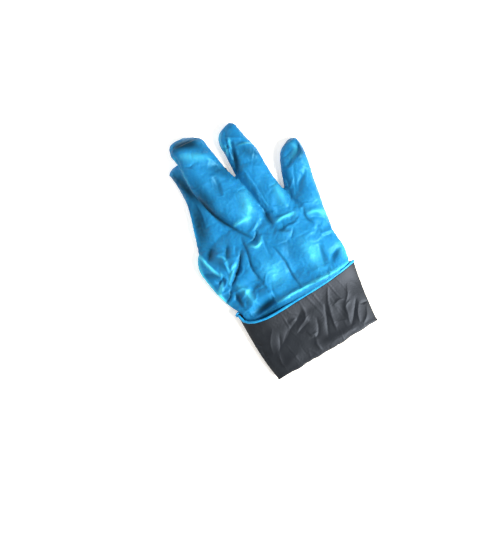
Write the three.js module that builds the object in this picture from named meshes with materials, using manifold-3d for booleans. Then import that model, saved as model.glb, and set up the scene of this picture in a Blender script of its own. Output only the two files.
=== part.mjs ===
// Nitrile exam glove lying on a table, as it is left after the cuff has been turned back over the hand.
// Millimetres. +Z is up, +Y runs from the mouth to the fingertips, the little finger is on the +X side.
// The film is blue outside and black inside, so the turned cuff shows black. It is a thin film in life;
// here it is FILM thick. The thumb is folded under the palm, and the middle finger lies on its neighbours.

import * as THREE from 'three';
import { mergeVertices } from 'three/addons/utils/BufferGeometryUtils.js';
import Module from 'manifold-3d';

const wasm = await Module();
wasm.setup();

// Driving dimensions.
const FILM = 1; // wall of the film
const PALM_WIDTH = 106; // flat width across the knuckles
const PALM_LENGTH = 118; // mouth to the crotches of the fingers
const PALM_HEIGHT = 14.5; // table to the top of the palm
const CUFF_LENGTH = 54; // turned cuff, from its fold to its rim
const CUFF_GAP = 0.4; // air between the wrist and the turned cuff
const MOUTH_SLANT = 0.07; // the fold runs slightly uphill, in millimetres of length for each of width
const HEM_LENGTH = 1.6; // the turn of the film round the mouth
const SEAM_GAP = 0.35; // between the wrist, the turned cuff and the bead
const BEAD_DIAMETER = 1.9; // rolled edge of the cuff
const THUMB_STACK = 5; // height of the flattened thumb under the palm
const THUMB_JOIN = 9; // how far in from its root the thumb comes free of the palm
const LAYER_GAP = 0.6; // air between the thumb and the palm above it

// Lengths, flat widths and heights of the fingers.
const INDEX_LENGTH = 98;
const INDEX_WIDTH = 27;
const MIDDLE_LENGTH = 114.5;
const MIDDLE_WIDTH = 31;
const RING_LENGTH = 112;
const RING_WIDTH = 26;
const LITTLE_LENGTH = 79;
const LITTLE_WIDTH = 24;
const THUMB_LENGTH = 62;
const THUMB_WIDTH = 25;
const FINGER_HEIGHT = 11.5;

// Facets: points across the top and the bottom of a flattened tube, and steps along it.
const PALM_FACETS = { top: 26, bottom: 8, along: 34 };
const PALM_LINING_FACETS = { top: 18, bottom: 6, along: 24 };
const FINGER_FACETS = { top: 11, bottom: 5, along: 20 };
const FINGER_LINING_FACETS = { top: 7, bottom: 4, along: 10 };
const THUMB_FACETS = { top: 7, bottom: 4, along: 12 };
const CUFF_FACETS = { top: 24, bottom: 10 };
const CUFF_STEPS = { outside: 7, inside: 4, turn: 4 };
const BEAD_SIDES = 8;

// Outline of the wrist and palm. Shares: up of PALM_LENGTH, left and right of PALM_WIDTH,
// crown of PALM_HEIGHT.
const PALM_ROWS = [
  { up: 0.0, left: -0.398, right: 0.398, crown: 0.66 },
  { up: 0.1, left: -0.42, right: 0.403, crown: 0.67 },
  { up: 0.2, left: -0.436, right: 0.413, crown: 0.68 },
  { up: 0.3, left: -0.432, right: 0.42, crown: 0.69 },
  { up: 0.4, left: -0.424, right: 0.42, crown: 0.74 },
  { up: 0.46, left: -0.415, right: 0.425, crown: 0.82 },
  { up: 0.53, left: -0.485, right: 0.448, crown: 0.88 },
  { up: 0.6, left: -0.52, right: 0.444, crown: 0.96 },
  { up: 0.68, left: -0.546, right: 0.436, crown: 1.0 },
  { up: 0.77, left: -0.564, right: 0.436, crown: 1.0 },
  { up: 0.85, left: -0.566, right: 0.43, crown: 0.9 },
  { up: 0.92, left: -0.52, right: 0.38, crown: 0.74 },
  { up: 0.97, left: -0.42, right: 0.27, crown: 0.55 },
  { up: 1.0, left: -0.26, right: 0.12, crown: 0.3 },
];

// Fingers. Shares: rootSide of PALM_WIDTH, rootUp of PALM_LENGTH, crown of FINGER_HEIGHT; leftRest and
// rightRest, the height of the two creased edges above the table, of FINGER_HEIGHT too. Degrees: heading
// from +Y towards the little finger, and bend, the turn from root to tip. taper is below 1 for a blunt
// finger and above it for a slim one. Upper fingers come last.
const FINGERS = [
  { name: 'index', length: INDEX_LENGTH, width: INDEX_WIDTH, rootSide: -0.41, rootUp: 0.68,
    heading: 10, bend: -8, crown: 0.74, leftRest: 0.0, rightRest: 0.0, taper: 1.0 },
  { name: 'little', length: LITTLE_LENGTH, width: LITTLE_WIDTH, rootSide: 0.335, rootUp: 0.66,
    heading: 5, bend: 6, crown: 0.9, leftRest: 0.0, rightRest: 0.0, taper: 1.0 },
  { name: 'ring', length: RING_LENGTH, width: RING_WIDTH, rootSide: 0.17, rootUp: 0.66,
    heading: -7, bend: 3, crown: 0.96, leftRest: 0.0, rightRest: 0.16, taper: 1.5 },
  { name: 'middle', length: MIDDLE_LENGTH, width: MIDDLE_WIDTH, rootSide: -0.066, rootUp: 0.695,
    heading: -9.8, bend: -1, crown: 1.0, leftRest: 0.42, rightRest: 0.2, taper: 0.6 },
];

// How a finger swells and closes: shares of its length, its width and its height.
const FINGER_ROWS = [
  { at: 0.0, width: 0.45, height: 0.6 },
  { at: 0.14, width: 0.68, height: 0.84 },
  { at: 0.3, width: 0.88, height: 0.95 },
  { at: 0.44, width: 1.0, height: 1.0 },
  { at: 0.58, width: 1.0, height: 0.98 },
  { at: 0.72, width: 0.96, height: 1.0 },
  { at: 0.84, width: 0.87, height: 0.98 },
  { at: 0.92, width: 0.75, height: 0.86 },
  { at: 0.97, width: 0.55, height: 0.62 },
  { at: 1.0, width: 0.22, height: 0.25 },
];

// Thumb, folded under the palm from its left edge. Shares: rootSide of PALM_WIDTH, rootUp of PALM_LENGTH.
const THUMB = {
  length: THUMB_LENGTH, width: THUMB_WIDTH, rootSide: -0.535, rootUp: 0.74, heading: 100, bend: 20,
};
const THUMB_ROWS = [
  { at: 0.0, width: 0.5 },
  { at: 0.06, width: 0.84 },
  { at: 0.15, width: 1.0 },
  { at: 0.7, width: 0.95 },
  { at: 0.88, width: 0.8 },
  { at: 0.96, width: 0.55 },
  { at: 1.0, width: 0.2 },
];

// Rim of the turned cuff across its top, from the left edge (-1) to the right (1). up is a share of
// CUFF_LENGTH: the rim sags towards the fold and runs up to both edges. lift is a share of PALM_HEIGHT:
// how far the rim stands off the palm.
const RIM_ROWS = [
  { across: -1.0, up: 0.985, lift: 0.0 },
  { across: -0.93, up: 0.885, lift: 0.05 },
  { across: -0.84, up: 0.815, lift: 0.12 },
  { across: -0.71, up: 0.78, lift: 0.2 },
  { across: -0.48, up: 0.77, lift: 0.24 },
  { across: -0.2, up: 0.787, lift: 0.2 },
  { across: 0.16, up: 0.81, lift: 0.14 },
  { across: 0.54, up: 0.84, lift: 0.08 },
  { across: 1.0, up: 0.911, lift: 0.0 },
];
const RIM_UNDERSIDE = 0.95; // share of CUFF_LENGTH, where the rim passes under the hand
const BEAD_RAMP = 0.7; // share of CUFF_LENGTH, from which the wrist rises to clear the bead under it
const RIM_LIFT_FROM = 0.55; // share of the way to the rim, from which its lift grows
const RIM_TURN = 3; // how late the rim turns from the top to the underside, as a power of the way across
const WRIST_REST = 5; // bead diameters past the rim, over which the hand comes back down to the table

// How the turned cuff stands away from the edges of the wrist, which narrows inside it. at is a share of
// CUFF_LENGTH, slack of PALM_WIDTH.
const CUFF_ROWS = [
  { at: 0.0, slack: 0.0 },
  { at: 0.4, slack: 0.008 },
  { at: 0.7, slack: 0.02 },
  { at: 1.0, slack: 0.034 },
];

// Folds and dents of the film. Shares: side of PALM_WIDTH and up of PALM_LENGTH at both ends, breadth of
// PALM_WIDTH, rise of the glove's height there: a ridge is positive and a furrow negative.
const FOLDS = [
  // The film gathers in front of the rim.
  { side: -0.3, up: 0.425, toSide: -0.02, toUp: 0.44, breadth: 0.035, rise: 0.26 },
  { side: -0.02, up: 0.44, toSide: 0.3, toUp: 0.43, breadth: 0.035, rise: 0.22 },
  { side: -0.42, up: 0.42, toSide: -0.16, toUp: 0.45, breadth: 0.05, rise: -0.38 },
  // Two long furrows run down the palm from the finger crotches.
  { side: -0.21, up: 0.82, toSide: -0.1, toUp: 0.6, breadth: 0.022, rise: -0.2 },
  { side: -0.1, up: 0.6, toSide: -0.07, toUp: 0.47, breadth: 0.022, rise: -0.16 },
  { side: 0.02, up: 0.84, toSide: 0.1, toUp: 0.5, breadth: 0.022, rise: -0.2 },
  { side: 0.25, up: 0.68, toSide: 0.28, toUp: 0.5, breadth: 0.05, rise: -0.14 },
  // Gathers over the folded thumb.
  { side: -0.27, up: 0.8, toSide: -0.33, toUp: 0.58, breadth: 0.028, rise: 0.22 },
  { side: -0.24, up: 0.8, toSide: -0.29, toUp: 0.6, breadth: 0.024, rise: -0.3 },
  { side: -0.37, up: 0.83, toSide: -0.39, toUp: 0.66, breadth: 0.028, rise: 0.2 },
  { side: -0.55, up: 0.74, toSide: -0.4, toUp: 0.66, breadth: 0.026, rise: -0.25 },
  { side: -0.47, up: 0.87, toSide: -0.45, toUp: 0.76, breadth: 0.03, rise: -0.25 },
  { side: -0.36, up: 0.6, toSide: -0.4, toUp: 0.5, breadth: 0.024, rise: -0.3 },
  { side: -0.46, up: 0.6, toSide: -0.3, toUp: 0.53, breadth: 0.03, rise: 0.2 },
  // Crotches of the fingers.
  { side: -0.17, up: 0.85, toSide: -0.08, toUp: 0.82, breadth: 0.025, rise: 0.15 },
  { side: 0.03, up: 0.95, toSide: 0.1, toUp: 0.89, breadth: 0.03, rise: -0.22 },
  { side: 0.1, up: 0.9, toSide: 0.2, toUp: 0.86, breadth: 0.03, rise: 0.18 },
  { side: 0.32, up: 0.78, toSide: 0.4, toUp: 0.72, breadth: 0.025, rise: 0.15 },
  { side: 0.34, up: 0.8, toSide: 0.45, toUp: 0.8, breadth: 0.03, rise: 0.15 },
];

// Shape of a flattened tube: how full its top is, how flat its bottom is, and where its edges crease.
const FULLNESS = 0.72;
const TOP_POWER = 2.3;
const FLAT_SHARE = 0.6; // the middle of the underside lies flat
const CREASE_SHARE = 0.3;
const MID_FINGER = 0.5; // share along a finger, past which its taper counts
const FREE_SPAN = { from: 0.15, to: 0.5 }; // shares along a finger, between which it lifts to its rest
const TIP_CROWDING = 1.35; // how much closer together the steps along a finger lie at its tip
const LINING_FEEL = { ridge: 0.3, furrow: 1.25 }; // how high and deep folds are on the inside of the film
const FOLD_END = 0.35; // share of a fold's rise that is left at its ends
const BEND_STEPS = 48; // straight steps in the bent middle line of a digit

const lerp = THREE.MathUtils.lerp;
const clamp = THREE.MathUtils.clamp;
const smoothstep = THREE.MathUtils.smoothstep;
const radians = THREE.MathUtils.degToRad;

// Value of a column at a key, smooth between the rows of a table.
function column(rows, key, at, name) {
  const last = rows.length - 1;
  const upper = clamp(rows.findIndex((row) => row[key] > at), 1, last);
  const next = at >= rows[last][key] ? last : upper;
  const [a, b] = [rows[next - 1], rows[next]];
  const [before, after] = [rows[Math.max(next - 2, 0)], rows[Math.min(next + 1, last)]];
  const span = b[key] - a[key];
  const t = clamp((at - a[key]) / span, 0, 1);
  const slopeA = ((b[name] - before[name]) / (b[key] - before[key] || span)) * span;
  const slopeB = ((after[name] - a[name]) / (after[key] - a[key] || span)) * span;
  const [t2, t3] = [t * t, t * t * t];
  return a[name] * (2 * t3 - 3 * t2 + 1) + b[name] * (3 * t2 - 2 * t3)
    + slopeA * (t3 - 2 * t2 + t) + slopeB * (t3 - t2);
}

// What the folds add to the height at a place on top of the glove, as a share of it. On the lining ridges
// are lower and furrows wider.
function foldRise(x, y, lining = false) {
  let rise = 0;
  for (const fold of FOLDS) {
    const start = new THREE.Vector2(fold.side * PALM_WIDTH, fold.up * PALM_LENGTH);
    const end = new THREE.Vector2(fold.toSide * PALM_WIDTH, fold.toUp * PALM_LENGTH);
    const along = end.clone().sub(start);
    const place = new THREE.Vector2(x, y).sub(start);
    const share = place.dot(along) / along.lengthSq();
    const nearest = clamp(share, 0, 1);
    const distance = place.sub(along.multiplyScalar(nearest)).length();
    const isRidge = fold.rise > 0;
    const breadth = fold.breadth * PALM_WIDTH + (lining && !isRidge ? 2 * FILM : 0);
    const taper = lerp(FOLD_END, 1, Math.sin(Math.PI * nearest));
    const felt = lining ? LINING_FEEL[isRidge ? 'ridge' : 'furrow'] : 1;
    rise += felt * fold.rise * taper * Math.exp(-((distance / breadth) ** 2));
  }
  return rise;
}

// Shares across a flattened tube, closer together near its creased edges.
function across(count) {
  return Array.from({ length: count + 1 }, (_, i) => -Math.cos((Math.PI * i) / count));
}

// One loop round a flattened tube: the top from left to right, then the bottom back to the left.
function loop(facets, point) {
  const top = across(facets.top).map((t) => point(t, true));
  const bottom = across(facets.bottom).slice(1, -1).reverse().map((t) => point(t, false));
  return [...top, ...bottom];
}

const topProfile = (t) => (1 - Math.abs(t) ** TOP_POWER) ** FULLNESS;
const bottomProfile = (t) => clamp((Math.abs(t) - FLAT_SHARE) / (1 - FLAT_SHARE), 0, 1) ** 2;

// A closed mesh through loops of equal length. The ends are flat caps, or the last loop joins the first.
function loft(loops, joined = false) {
  const count = loops[0].length;
  const points = loops.flat();
  const faces = [];
  const spans = joined ? loops.length : loops.length - 1;
  for (let j = 0; j < spans; j += 1) {
    const [here, there] = [j * count, ((j + 1) % loops.length) * count];
    for (let i = 0; i < count; i += 1) {
      const k = (i + 1) % count;
      faces.push(here + i, here + k, there + i, there + i, here + k, there + k);
    }
  }
  if (!joined) {
    for (const [first, turned] of [[0, true], [points.length - count, false]]) {
      const flat = points.slice(first, first + count);
      const centre = flat.reduce((sum, p) => sum.add(p), new THREE.Vector3()).divideScalar(count);
      points.push(centre);
      for (let i = 0; i < count; i += 1) {
        const [a, b] = [first + i, first + ((i + 1) % count)];
        faces.push(...(turned ? [b, a, points.length - 1] : [a, b, points.length - 1]));
      }
    }
  }
  const geometry = new THREE.BufferGeometry();
  geometry.setAttribute('position', new THREE.Float32BufferAttribute(points.flatMap((p) => p.toArray()), 3));
  geometry.setIndex(faces);
  return geometry;
}

// Between three.js geometry and a solid that can be cut and joined.
function solid(geometry) {
  const bare = new THREE.BufferGeometry();
  bare.setAttribute('position', geometry.getAttribute('position'));
  bare.setIndex(geometry.index);
  const merged = mergeVertices(bare, 1e-4);
  return new wasm.Manifold(new wasm.Mesh({
    numProp: 3,
    vertProperties: new Float32Array(merged.attributes.position.array),
    triVerts: new Uint32Array(merged.index.array),
  }));
}

function geometryOf(made) {
  const { vertProperties, triVerts } = made.getMesh();
  const geometry = new THREE.BufferGeometry();
  geometry.setAttribute('position', new THREE.Float32BufferAttribute(vertProperties, 3));
  geometry.setIndex(Array.from(triVerts));
  geometry.computeVertexNormals();
  return geometry;
}

// The middle of a digit, bent evenly from root to tip, as a function of the share along it. The last
// step runs on straight past the tip.
function centreline({ length, rootSide, rootUp, heading, bend }) {
  const points = [new THREE.Vector2(rootSide * PALM_WIDTH, rootUp * PALM_LENGTH)];
  for (let i = 0; i < BEND_STEPS; i += 1) {
    const angle = radians(heading + (bend * (i + 0.5)) / BEND_STEPS);
    const step = new THREE.Vector2(Math.sin(angle), Math.cos(angle)).multiplyScalar(length / BEND_STEPS);
    points.push(points[i].clone().add(step));
  }
  return (share) => {
    const index = clamp(Math.floor(share * BEND_STEPS), 0, BEND_STEPS - 1);
    const angle = radians(heading + bend * share);
    const step = points[index + 1].clone().sub(points[index]);
    return {
      centre: points[index].clone().addScaledVector(step, share * BEND_STEPS - index),
      side: new THREE.Vector2(Math.cos(angle), -Math.sin(angle)),
    };
  };
}

// A place on the wrist and palm, `out` millimetres outside the film's outer face.
function palmPoint(t, isTop, y, out) {
  const up = y / PALM_LENGTH;
  const edge = (name) => column(PALM_ROWS, 'up', up, name) * PALM_WIDTH;
  const x = lerp(edge('left') - out, edge('right') + out, (t + 1) / 2);
  const inCuff = 1 - smoothstep(y, CUFF_LENGTH + BEAD_DIAMETER, CUFF_LENGTH + WRIST_REST * BEAD_DIAMETER);
  const atRim = smoothstep(y, BEAD_RAMP * CUFF_LENGTH, RIM_UNDERSIDE * CUFF_LENGTH);
  const floor = inCuff * lerp(FILM + CUFF_GAP, BEAD_DIAMETER + 2 * SEAM_GAP, atRim);
  const crown = column(PALM_ROWS, 'up', up, 'crown') * PALM_HEIGHT;
  const crease = floor + CREASE_SHARE * crown;
  if (isTop) {
    const height = (crown - crease) * (1 + foldRise(x, y, out < 0)) + out;
    return { x, z: crease + height * topProfile(t) };
  }
  return { x, z: lerp(floor - out, crease, bottomProfile(t)) };
}

// A closed body with the palm's form. `inset` is 0 for the outside and FILM for the hollow, which runs
// out through the mouth.
function palmBody(inset, facets) {
  const start = inset ? -2 * HEM_LENGTH : SEAM_GAP;
  const loops = [];
  for (let j = 0; j <= facets.along; j += 1) {
    const y = lerp(start, PALM_LENGTH - inset, j / facets.along);
    const shift = (x) => MOUTH_SLANT * x * (1 - smoothstep(y, 0, CUFF_LENGTH));
    loops.push(loop(facets, (t, isTop) => {
      const { x, z } = palmPoint(t, isTop, Math.max(y, 0), -inset);
      return new THREE.Vector3(x, y + shift(x), z);
    }));
  }
  return solid(loft(loops));
}

// A closed body with a finger's form, again outside or hollow.
function fingerBody(finger, inset, facets) {
  const line = centreline(finger);
  const loops = [];
  for (let j = 0; j <= facets.along; j += 1) {
    // Steps close up towards the tip, where the outline turns.
    const share = 1 - (1 - j / facets.along) ** TIP_CROWDING;
    const { centre, side } = line(share - inset / finger.length);
    const swell = column(FINGER_ROWS, 'at', share, 'width') ** (share > MID_FINGER ? finger.taper : 1);
    const half = (swell * finger.width) / 2 - inset;
    const crown = finger.crown * FINGER_HEIGHT * column(FINGER_ROWS, 'at', share, 'height');
    const free = smoothstep(share, FREE_SPAN.from, FREE_SPAN.to) * FINGER_HEIGHT;
    loops.push(loop(facets, (t, isTop) => {
      const { x, y } = centre.clone().addScaledVector(side, t * Math.max(half, FILM / 2));
      const rest = lerp(finger.leftRest, finger.rightRest, (t + 1) / 2) * free;
      const crease = CREASE_SHARE * crown;
      const height = (crown - crease) * (1 + foldRise(x, y, inset > 0)) - inset;
      const top = crease + height * topProfile(t);
      return new THREE.Vector3(x, y, rest + (isTop ? top : lerp(inset, crease, bottomProfile(t))));
    }));
  }
  return solid(loft(loops));
}

// The flattened thumb under the palm, whose edge its root joins. A negative inset gives the room kept
// clear round it, which starts further in.
function thumbBody(inset, start = inset) {
  const line = centreline(THUMB);
  const loops = [];
  for (let j = 0; j <= THUMB_FACETS.along; j += 1) {
    const place = lerp(start, THUMB.length - inset, j / THUMB_FACETS.along);
    const { centre, side } = line(place / THUMB.length);
    const swell = column(THUMB_ROWS, 'at', place / THUMB.length, 'width');
    const half = Math.max((swell * THUMB.width) / 2 - inset, FILM / 2);
    const crease = CREASE_SHARE * THUMB_STACK;
    loops.push(loop(THUMB_FACETS, (t, isTop) => {
      const { x, y } = centre.clone().addScaledVector(side, t * half);
      const top = crease + (THUMB_STACK - crease - inset) * topProfile(t);
      return new THREE.Vector3(x, y, isTop ? top : lerp(inset, crease, bottomProfile(t)));
    }));
  }
  return solid(loft(loops));
}

// Palm, thumb and four fingers as one hollow film. Where fingers cross, the upper one's film parts them.
function handFilm() {
  const room = thumbBody(-LAYER_GAP, THUMB_JOIN);
  const roomInside = thumbBody(-LAYER_GAP - FILM, THUMB_JOIN - FILM);
  let film = palmBody(0, PALM_FACETS).subtract(room);
  film = film.add(thumbBody(0)).subtract(thumbBody(FILM));
  for (const finger of FINGERS) {
    film = film.add(fingerBody(finger, 0, FINGER_FACETS).subtract(room));
    film = film.subtract(fingerBody(finger, FILM, FINGER_LINING_FACETS).subtract(roomInside));
  }
  return film.subtract(palmBody(FILM, PALM_LINING_FACETS).subtract(roomInside));
}

// A place on the turned cuff: `share` runs from its fold at the mouth to its rim.
function cuffPoint(t, isTop, share, out) {
  const end = t < 0 ? RIM_ROWS[0].up : RIM_ROWS.at(-1).up;
  const below = lerp(RIM_UNDERSIDE, end, Math.abs(t) ** RIM_TURN);
  const rimUp = isTop ? column(RIM_ROWS, 'across', t, 'up') : below;
  const y = share * rimUp * CUFF_LENGTH;
  const { x, z } = palmPoint(t, isTop, y, out);
  const slack = t * column(CUFF_ROWS, 'at', share * rimUp, 'slack') * PALM_WIDTH;
  const lifted = isTop ? smoothstep(share, RIM_LIFT_FROM, 1) : 0;
  const lift = column(RIM_ROWS, 'across', t, 'lift') * PALM_HEIGHT * lifted;
  const slant = MOUTH_SLANT * x * (1 - smoothstep(y, 0, CUFF_LENGTH));
  return new THREE.Vector3(x + slack, y + slant, z + lift);
}

// The turned cuff: a sleeve round the wrist, with the turn of the film at the mouth.
function cuffFilm() {
  const outer = CUFF_GAP + FILM;
  const profile = [];
  for (let i = 0; i <= CUFF_STEPS.outside; i += 1) {
    profile.push({ share: i / CUFF_STEPS.outside, out: outer, drop: 0 });
  }
  for (let i = 0; i <= CUFF_STEPS.inside; i += 1) {
    profile.push({ share: 1 - i / CUFF_STEPS.inside, out: CUFF_GAP, drop: 0 });
  }
  profile.push({ share: 0, out: -FILM, drop: 0 });
  for (let i = 1; i < CUFF_STEPS.turn; i += 1) {
    const angle = (Math.PI * i) / CUFF_STEPS.turn;
    const out = lerp(-FILM, outer, (1 - Math.cos(angle)) / 2);
    profile.push({ share: 0, out, drop: HEM_LENGTH * Math.sin(angle) });
  }
  const loops = profile.map(({ share, out, drop }) => loop(CUFF_FACETS, (t, isTop) => {
    const place = cuffPoint(t, isTop, share, out);
    place.y -= drop;
    return place;
  }));
  return solid(loft(loops, true));
}

// The rolled edge: a round bead all along the rim, clear of the cuff's film and of the hand.
function rimBead() {
  const radius = BEAD_DIAMETER / 2;
  const rim = loop(CUFF_FACETS, (t, isTop) => cuffPoint(t, isTop, 1, SEAM_GAP + radius));
  const count = rim.length;
  const loops = rim.map((place, i) => {
    const tangent = rim[(i + 1) % count].clone().sub(rim[(i + count - 1) % count]).normalize();
    const forward = new THREE.Vector3(0, 1, 0).addScaledVector(tangent, -tangent.y).normalize();
    const outward = new THREE.Vector3().crossVectors(tangent, forward);
    const centre = place.clone().addScaledVector(forward, 2 * SEAM_GAP + radius);
    return Array.from({ length: BEAD_SIDES }, (_, k) => {
      const angle = (2 * Math.PI * k) / BEAD_SIDES;
      return centre.clone()
        .addScaledVector(forward, radius * Math.cos(angle))
        .addScaledVector(outward, radius * Math.sin(angle));
    });
  });
  return solid(loft(loops, true));
}

const blueNitrile = new THREE.MeshStandardMaterial({ color: 0x2b86cf, roughness: 0.42, metalness: 0 });
const blackNitrile = new THREE.MeshStandardMaterial({ color: 0x2c2b2d, roughness: 0.5, metalness: 0 });

function piece(name, made, material) {
  const mesh = new THREE.Mesh(geometryOf(made), material);
  mesh.name = name;
  return mesh;
}

const glove = new THREE.Group();
glove.add(piece('hand', handFilm(), blueNitrile));
glove.add(piece('turned_cuff', cuffFilm(), blackNitrile));
glove.add(piece('rolled_bead', rimBead(), blueNitrile));

// The origin is on the table, under the middle of the glove.
const reach = new THREE.Box3().setFromObject(glove);
const middle = reach.getCenter(new THREE.Vector3());
glove.position.set(-middle.x, -middle.y, -reach.min.z);

const part = new THREE.Group();
part.add(glove);

export default part;
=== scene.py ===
"""A disposable nitrile exam glove lying palm up, its cuff turned back and its thumb tucked under the palm.

The film is modelled in millimetres in the glove's own frame: the origin is the middle of the mouth, +Y runs
to the fingertips and +X to the little finger. metres() takes that to the frame of the solids.
"""

import math
from collections import namedtuple

import bmesh
import bpy
import numpy as np
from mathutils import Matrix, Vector
from mathutils.bvhtree import BVHTree


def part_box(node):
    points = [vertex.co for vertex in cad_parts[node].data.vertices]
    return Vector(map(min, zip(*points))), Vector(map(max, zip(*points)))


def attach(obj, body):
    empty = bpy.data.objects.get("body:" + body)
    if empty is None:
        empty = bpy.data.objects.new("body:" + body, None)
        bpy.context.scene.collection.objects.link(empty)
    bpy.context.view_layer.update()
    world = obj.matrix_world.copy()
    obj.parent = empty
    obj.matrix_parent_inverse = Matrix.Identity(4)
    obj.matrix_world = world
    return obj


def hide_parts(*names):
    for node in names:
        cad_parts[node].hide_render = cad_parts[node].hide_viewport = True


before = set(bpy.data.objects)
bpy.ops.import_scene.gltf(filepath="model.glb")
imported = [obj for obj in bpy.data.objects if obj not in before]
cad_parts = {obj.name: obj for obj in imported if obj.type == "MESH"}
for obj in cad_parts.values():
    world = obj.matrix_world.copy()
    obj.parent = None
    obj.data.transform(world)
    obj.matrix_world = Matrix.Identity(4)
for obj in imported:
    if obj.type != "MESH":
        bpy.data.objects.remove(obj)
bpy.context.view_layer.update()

MM = 0.001

# The picture: straight down, turned a little, so many millimetres of table for each pixel.
PICTURE = {"wide": 483, "high": 555, "mm_per_pixel": 0.77}
MOUTH_PIXEL = (327, 348)
TURN = math.radians(27.3)
CAMERA_HEIGHT = 1300.0
SENSOR = 36.0

# From the middle of the turned cuff's low edge to the middle of the mouth.
MOUTH_ASIDE = 0.1
MOUTH_AHEAD = 4.6

# The mouth is cut a little slantwise, and the slant is gone this far up the wrist.
MOUTH_SLANT = 0.07
SLANT_END = 54

# Film of the glove: its wall, drawn thicker than the real 0.1 mm, the size of its facets, and how far it
# stays above the film and above the table below it.
FILM_WALL = 0.4
FILM_GRAIN = 1.0
FILM_APART = 1.0
TABLE_GAP = 0.05
# Height of the side creases, as a share of the crown.
CREASE_SHARE = 0.3

# The tucked thumb, and the room over it that the palm leaves.
THUMB_HEIGHT = 4.6
THUMB_CLEARANCE = 2.0

# The turned cuff: how much lower the wrist is under it, and how far out from the wrist it lies.
CUFF_ROOM = 2.3
SLEEVE_OUT = 2.0
# The turn of the film runs this far past the mouth, and its inner end is this far inside the wrist.
HEM_REACH = 1.6
SLEEVE_INSIDE = -2.6
# Half the width of the sleeve at the rim, and to its side creases, which no wrinkle reaches.
RIM_HALF = 49.2
CREASE_HALF = 49.4
BEAD_DIAMETER = 1.9
MOUTH_TRIM = 1.0
SEED = 20

# Where the film gathers: the finger crotches, and over the tucked thumb.
CROTCHES = [(37, 87), (9, 113), (-12, 98)]
THUMB_GATHERS = [(-42, 80), (-32, 70)]

# Cloth runs at ten times the size, where these settings behave as thin rubber film does.
SIMULATION_SCALE = 10.0
SIMULATION_FRAMES = 16
FILM_CLOTH = {
    "quality": 6, "mass": 0.2, "tension_stiffness": 60, "compression_stiffness": 60,
    "shear_stiffness": 30, "bending_stiffness": 0.05, "air_damping": 4,
    "vertex_group_mass": "held", "vertex_group_shrink": "slack",
}

# Wrist and palm, from the mouth to the finger crotches.
PALM = [
    {"y": 0.0, "left": -42.2, "right": 42.2, "crown": 8.4},
    {"y": 11.8, "left": -44.5, "right": 42.7, "crown": 8.5},
    {"y": 23.6, "left": -46.2, "right": 43.8, "crown": 8.7},
    {"y": 35.4, "left": -45.8, "right": 44.5, "crown": 8.8},
    {"y": 47.2, "left": -46.0, "right": 45.0, "crown": 10.7},
    {"y": 55.5, "left": -48.2, "right": 46.8, "crown": 11.6},
    {"y": 62.5, "left": -52.0, "right": 47.7, "crown": 12.4},
    {"y": 70.8, "left": -55.0, "right": 47.0, "crown": 13.2},
    {"y": 80.2, "left": -57.9, "right": 45.8, "crown": 13.8},
    {"y": 90.9, "left": -59.9, "right": 46.0, "crown": 13.4},
    {"y": 100.3, "left": -60.0, "right": 45.6, "crown": 12.0},
    {"y": 108.6, "left": -55.4, "right": 40.3, "crown": 10.2},
    {"y": 114.5, "left": -44.5, "right": 28.6, "crown": 8.0},
    {"y": 118.0, "left": -27.6, "right": 12.7, "crown": 5.0},
]

# Flat outline of each digit from root to tip: the points of its left and right edge.
DIGITS = {
    "index": {
        "left": [(-54, 84), (-55, 108), (-52, 120.5), (-47.4, 138), (-45.2, 149), (-45.4, 160),
                 (-46.3, 170), (-46.5, 174.8), (-43, 177)],
        "right": [(-26, 84), (-18, 108), (-17, 120), (-18, 138), (-20, 150), (-22, 161),
                  (-24, 170), (-27, 176), (-33, 178.5)],
        "crown": 8.5, "left_rest": 0.0, "right_rest": 0.0,
    },
    "little": {
        "left": [(29, 80), (29, 95), (28, 110), (26.8, 122), (29.3, 132), (32.5, 141.7),
                 (35, 147.3), (37, 150.6), (42.7, 154.7), (45.5, 155.9)],
        "right": [(46, 80), (47.3, 95), (49.6, 110), (51.2, 122.6), (53, 132), (54.2, 142),
                  (54.2, 147.5), (53.7, 152.5), (51.8, 155.6), (49.5, 156.6)],
        "crown": 10.3, "left_rest": 0.0, "right_rest": 0.0,
    },
    "ring": {
        "left": [(8, 80), (6, 100), (3, 122), (0, 135), (-1.8, 147), (-2, 158), (-1.9, 168),
                 (-2.1, 177), (-0.3, 182), (2.5, 185), (6, 186.8)],
        "right": [(28, 80), (30.6, 100), (27, 121), (24.3, 133), (23, 147), (22.6, 158),
                  (21.4, 165), (18.2, 176), (16.9, 182), (15.5, 186.4), (12.6, 188.8)],
        "crown": 11.0, "left_rest": 0.0, "right_rest": 1.8,
    },
    "middle": {
        "left": [(-17, 84), (-19, 98), (-23, 115.6), (-31, 132), (-35.5, 147.5), (-37.8, 161.6),
                 (-37.9, 176.4), (-38.8, 188), (-37, 192.6), (-33, 194.4)],
        "right": [(2, 84), (6, 101), (5.5, 113), (1.5, 131), (-2.2, 146.7), (-6.2, 160),
                  (-10, 178.5), (-13.6, 188.8), (-18, 191.5), (-24, 194)],
        "crown": 11.5, "left_rest": 4.8, "right_rest": 2.3,
    },
}

# How high a digit and the thumb stand along their length, as pairs of shares of their length and crown.
DIGIT_HEIGHTS = [(0.0, 0.62), (0.14, 0.84), (0.3, 0.95), (0.44, 1.0), (0.58, 0.98), (0.72, 1.0),
                 (0.84, 0.96), (0.92, 0.84), (0.97, 0.62), (1.0, 0.34)]
THUMB_HEIGHTS = [(0.0, 1.0), (0.8, 1.0), (0.93, 0.8), (1.0, 0.35)]
THUMB = {
    "left": [(-56, 76), (-43, 70), (-20, 66), (-5, 62), (-1, 62)],
    "right": [(-56, 98), (-41, 95), (-18, 90), (0, 80), (4, 73)],
    "start": -56.0, "reach": 62.0,
}


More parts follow.
